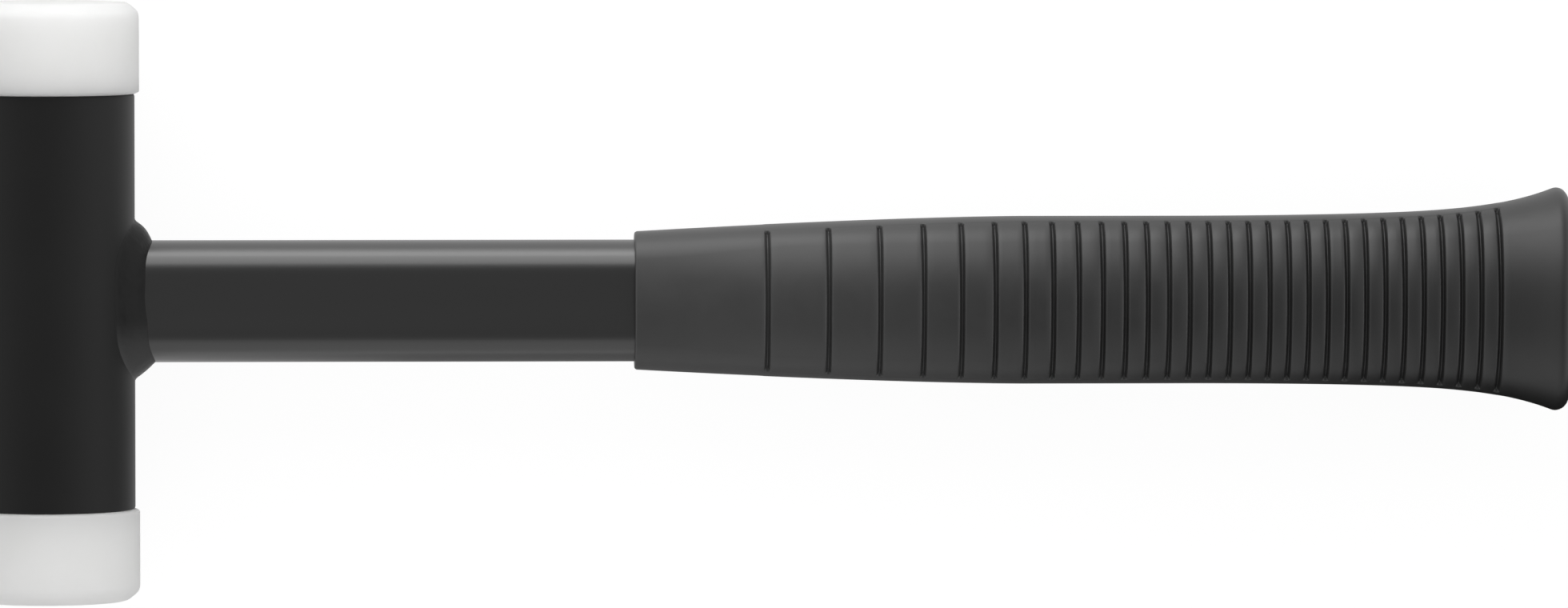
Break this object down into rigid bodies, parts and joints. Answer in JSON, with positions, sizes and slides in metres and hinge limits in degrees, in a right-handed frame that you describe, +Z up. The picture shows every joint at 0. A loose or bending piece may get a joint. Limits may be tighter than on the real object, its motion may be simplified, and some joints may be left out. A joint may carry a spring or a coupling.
{
  "type": "dead blow hammer",
  "caption": "Soft-faced dead blow hammer with push-in nylon striking faces, a shot-filled steel head tube, a welded flat-oval steel shaft and a grooved rubber grip.",
  "frame": {"origin": "under the middle of the hammer lying on its side, on the surface that it lies on", "axes": "+X along the shaft from the head to the butt, +Y along the head towards the front face, +Z up, square to the flat side of the shaft"},
  "size_m": [0.2644, 0.098, 0.03],
  "materials": {
    "head_enamel": "satin black enamel",
    "shaft_enamel": "satin black enamel",
    "nylon": "natural white, turned and lightly polished",
    "grip_rubber": "matt moulded",
    "disc_steel": "turned",
    "shot_steel": "tumbled",
    "plug_plastic": "moulded black"
  },
  "bodies": {
    "hammer": {"head_tube": "head_enamel", "front_disc": "disc_steel", "rear_disc": "disc_steel", "handle_shaft": "shaft_enamel", "weld_bead": "head_enamel", "shaft_plug": "plug_plastic", "grip_sleeve": "grip_rubber"},
    "shot_charge": {"steel_shot": "shot_steel"},
    "front_insert": {"front_face": "nylon"},
    "rear_insert": {"rear_face": "nylon"}
  },
  "joints": [
    {"name": "shot_travel", "type": "slide", "parent": "hammer", "child": "shot_charge", "axis": [0, 1, 0], "range_m": [-0.0046, 0.0046]},
    {"name": "front_face_pull", "type": "slide", "parent": "hammer", "child": "front_insert", "axis": [0, 1, 0], "range_m": [0, 0.012]},
    {"name": "rear_face_pull", "type": "slide", "parent": "hammer", "child": "rear_insert", "axis": [0, -1, 0], "range_m": [0, 0.012]}
  ]
}
